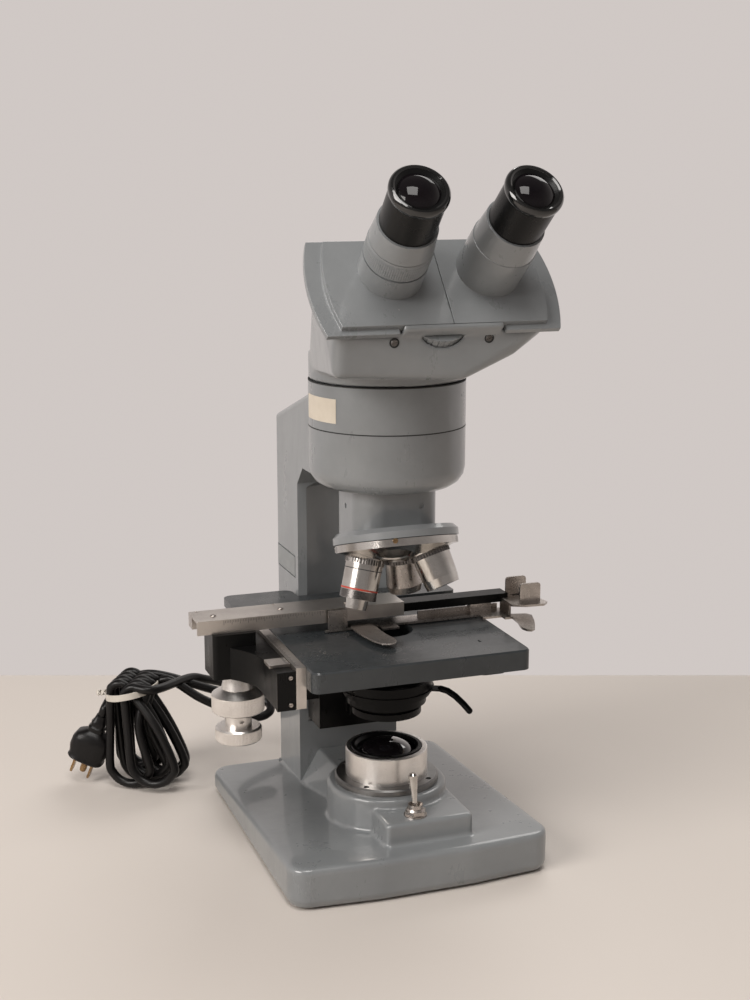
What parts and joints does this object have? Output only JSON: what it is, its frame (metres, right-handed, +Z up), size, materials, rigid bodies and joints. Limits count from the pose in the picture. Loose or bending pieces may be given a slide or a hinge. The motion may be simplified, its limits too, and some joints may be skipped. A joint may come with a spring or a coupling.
{
  "type": "microscope",
  "caption": "Binocular laboratory microscope with a lamp in its base, a four-place objective turret, a mechanical stage and focusing drives, with its mains lead tied in a bundle beside it.",
  "frame": {"origin": "middle of the object's footprint on the table, not counting its free mains lead", "axes": "+Z up, the user looks in from -Y, +X to the user's right"},
  "size_m": [0.2786, 0.3274, 0.4174],
  "materials": {
    "grey_enamel": "semi-gloss enamel",
    "stage_enamel": "worn dark enamel",
    "black_enamel": "satin enamel",
    "bright_nickel": "polished and knurled",
    "brushed_aluminium": "brushed",
    "satin_steel": "brushed",
    "black_plastic": "gloss",
    "rubber": "matte",
    "optical_glass": "polished",
    "bulb_glass": "clear",
    "mirror_glass": "polished",
    "red_band": "gloss",
    "label_card": "aged",
    "coil_iron": "varnished",
    "socket_ceramic": "ceramic white"
  },
  "bodies": {
    "stand": {"base_casting": "grey_enamel", "bottom_cover": "black_enamel", "rubber_feet": "rubber", "cover_screws": "satin_steel", "transformer": "coil_iron", "lamp_socket": "socket_ceramic", "lamp_bulb": "bulb_glass", "lamp_mirror": "mirror_glass", "field_flange": "brushed_aluminium", "field_collar": "bright_nickel", "field_retainer": "black_enamel", "field_lens": "optical_glass", "switch_bushing": "satin_steel", "cord_bushing": "rubber", "arm_column": "grey_enamel", "arm_cover": "grey_enamel", "ring_label": "label_card", "arm_label": "brushed_aluminium", "stage_bracket": "black_enamel", "stage_plate": "stage_enamel", "stage_pad": "black_plastic", "y_guide": "brushed_aluminium", "cord_lead": "rubber", "cord_hank": "rubber", "cord_plug": "black_plastic"},
    "power_switch": {"switch_lever": "bright_nickel"},
    "coarse_carriage": {"coarse_carrier": "brushed_aluminium"},
    "nosepiece": {"nosepiece_block": "grey_enamel", "turret_pivot": "satin_steel"},
    "turret": {"turret_body": "bright_nickel", "objective_high": "bright_nickel", "objective_band": "red_band", "objective_mid": "bright_nickel", "objective_low": "bright_nickel", "objective_lenses": "optical_glass"},
    "coarse_knob_pair": {"coarse_knobs": "black_plastic"},
    "fine_knob_pair": {"fine_knobs": "brushed_aluminium"},
    "y_carriage": {"y_block": "black_enamel", "y_end_cap": "black_enamel", "y_vernier": "brushed_aluminium", "x_rail": "brushed_aluminium"},
    "y_drive": {"y_knob": "brushed_aluminium"},
    "x_drive": {"x_knob": "brushed_aluminium"},
    "x_carriage": {"x_bar": "black_enamel", "slide_holder": "satin_steel"},
    "finger": {"spring_finger": "satin_steel"},
    "condenser": {"condenser_carrier": "black_enamel", "condenser_rings": "black_enamel", "condenser_lens": "optical_glass"},
    "iris": {"iris_lever": "black_enamel"},
    "condenser_drive": {"condenser_knobs": "black_plastic"},
    "head": {"head_casting": "grey_enamel"},
    "ipd_drive": {"ipd_wheel": "grey_enamel"},
    "left_slide": {"left_plate": "grey_enamel", "left_tube": "grey_enamel"},
    "diopter": {"diopter_ring": "grey_enamel"},
    "left_ocular": {"left_eyepiece": "black_plastic"},
    "right_slide": {"right_plate": "grey_enamel"},
    "right_ocular": {"right_eyepiece": "black_plastic"}
  },
  "joints": [
    {"name": "switch_toggle", "type": "hinge", "parent": "stand", "child": "power_switch", "pos_m": [0.0073, -0.0408, 0.041], "axis": [1, 0, 0], "range_deg": [0, 24]},
    {"name": "coarse_focus", "type": "slide", "parent": "stand", "child": "coarse_carriage", "axis": [0, 0, 1], "range_m": [-0.004, 0.006]},
    {"name": "fine_focus", "type": "slide", "parent": "coarse_carriage", "child": "nosepiece", "axis": [0, 0, 1], "range_m": [-0.001, 0.001]},
    {"name": "coarse_knob_turn", "type": "hinge", "parent": "stand", "child": "coarse_knob_pair", "pos_m": [0.006, 0.1052, 0.12], "axis": [1, 0, 0], "range_deg": [-74, 110]},
    {"name": "fine_knob_turn", "type": "hinge", "parent": "stand", "child": "fine_knob_pair", "pos_m": [0.006, 0.1052, 0.12], "axis": [1, 0, 0], "range_deg": [-91, 91]},
    {"name": "turret_turn", "type": "hinge", "parent": "nosepiece", "child": "turret", "pos_m": [0.006, 0.0062, 0.2553], "axis": [0, -0.284, -0.9588], "continuous": true},
    {"name": "stage_y", "type": "slide", "parent": "stand", "child": "y_carriage", "axis": [0, 1, 0], "range_m": [0, 0.015]},
    {"name": "stage_x", "type": "slide", "parent": "y_carriage", "child": "x_carriage", "axis": [1, 0, 0], "range_m": [-0.042, 0.006]},
    {"name": "y_knob_turn", "type": "hinge", "parent": "y_carriage", "child": "y_drive", "pos_m": [-0.084, 0.0222, 0.101], "axis": [0, 0, 1], "range_deg": [-1, 181]},
    {"name": "x_knob_turn", "type": "hinge", "parent": "y_carriage", "child": "x_drive", "pos_m": [-0.084, 0.0222, 0.082], "axis": [0, 0, 1], "range_deg": [-505, 73]},
    {"name": "finger_swing", "type": "hinge", "parent": "x_carriage", "child": "finger", "pos_m": [-0.0125, 0.0092, 0.1448], "axis": [0, 0, 1], "range_deg": [-22, 0], "stiffness_Nm_per_rad": 0.02, "springref_deg": 5.73},
    {"name": "condenser_focus", "type": "slide", "parent": "stand", "child": "condenser", "axis": [0, 0, 1], "range_m": [-0.012, 0.008]},
    {"name": "condenser_knob_turn", "type": "hinge", "parent": "stand", "child": "condenser_drive", "pos_m": [-0.004, 0.0602, 0.107], "axis": [1, 0, 0], "range_deg": [-139, 93]},
    {"name": "iris_turn", "type": "hinge", "parent": "condenser", "child": "iris", "pos_m": [0.006, 0.0062, 0.106], "axis": [0, 0, 1], "range_deg": [-12, 60]},
    {"name": "head_turn", "type": "hinge", "parent": "stand", "child": "head", "pos_m": [0.006, 0.0062, 0.2963], "axis": [0, 0, 1], "continuous": true},
    {"name": "right_slide", "type": "slide", "parent": "head", "child": "right_slide", "axis": [1, 0, 0], "range_m": [0, 0.0065]},
    {"name": "left_slide", "type": "slide", "parent": "head", "child": "left_slide", "axis": [-1, 0, 0], "range_m": [0, 0.0065]},
    {"name": "ipd_wheel_turn", "type": "hinge", "parent": "head", "child": "ipd_drive", "pos_m": [0.0015, -0.08004, 0.34042], "axis": [0, -0.7604, 0.6494], "range_deg": [-1, 79]},
    {"name": "diopter_turn", "type": "hinge", "parent": "left_slide", "child": "diopter", "pos_m": [-0.02283, -0.09003, 0.37657], "axis": [-0.0471, -0.7596, 0.6487], "range_deg": [-60, 60]},
    {"name": "left_ocular_out", "type": "slide", "parent": "left_slide", "child": "left_ocular", "axis": [-0.0471, -0.7596, 0.6487], "range_m": [0, 0.03]},
    {"name": "right_ocular_out", "type": "slide", "parent": "right_slide", "child": "right_ocular", "axis": [0.0471, -0.7596, 0.6487], "range_m": [0, 0.03]}
  ],
  "couplings": [
    {"joint": "coarse_knob_turn", "follows": "coarse_focus", "rad_per_m": 314.16},
    {"joint": "fine_knob_turn", "follows": "fine_focus", "rad_per_m": 1570.8},
    {"joint": "y_knob_turn", "follows": "stage_y", "rad_per_m": 209.44},
    {"joint": "x_knob_turn", "follows": "stage_x", "rad_per_m": 209.44},
    {"joint": "condenser_knob_turn", "follows": "condenser_focus", "rad_per_m": 200},
    {"joint": "left_slide", "follows": "right_slide", "ratio": 1},
    {"joint": "ipd_wheel_turn", "follows": "right_slide", "rad_per_m": 209.44}
  ]
}
